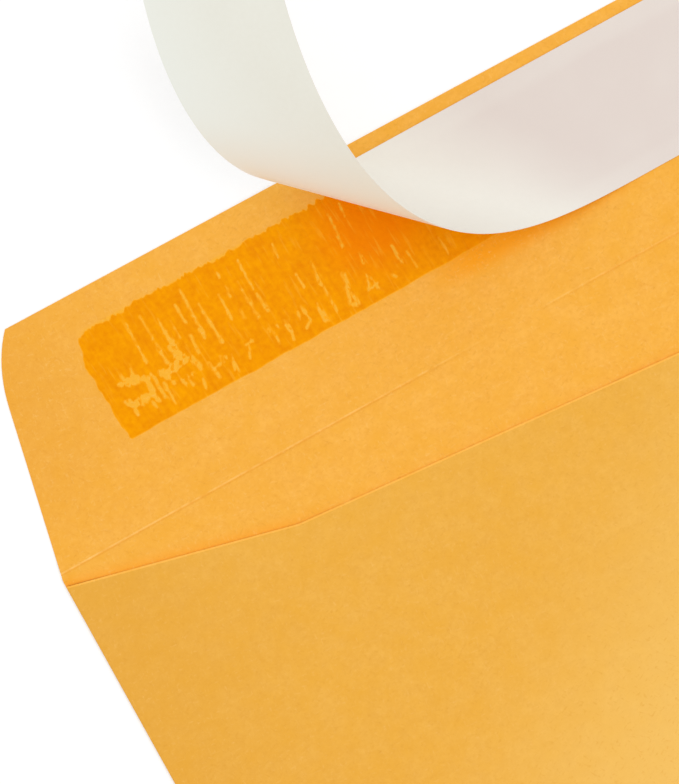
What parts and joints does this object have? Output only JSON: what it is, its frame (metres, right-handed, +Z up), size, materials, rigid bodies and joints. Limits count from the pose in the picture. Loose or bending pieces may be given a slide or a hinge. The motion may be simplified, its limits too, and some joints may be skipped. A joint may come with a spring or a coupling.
{
  "type": "catalog envelope",
  "caption": "Open-end catalog envelope of kraft paper, seal flap opened flat, with the release liner half peeled back off the adhesive band.",
  "frame": {"origin": "centre of the front (address) panel's outer face, which the envelope lies on", "axes": "+X across the envelope, +Y along it towards the seal flap, +Z up out of the back with the centre seam"},
  "size_m": [0.2286, 0.391, 0.0435],
  "materials": {
    "kraft_paper": "uncoated golden kraft paper, matte, faintly fibrous",
    "adhesive": "tacky pressure-sensitive adhesive soaked into the paper, glossy, amber, streaked",
    "release_paper": "white release paper, matte outside, smooth silicone inside"
  },
  "bodies": {
    "root": {"kraft_envelope": "kraft_paper", "adhesive_strip": "adhesive", "release_liner": "release_paper"}
  },
  "joints": []
}
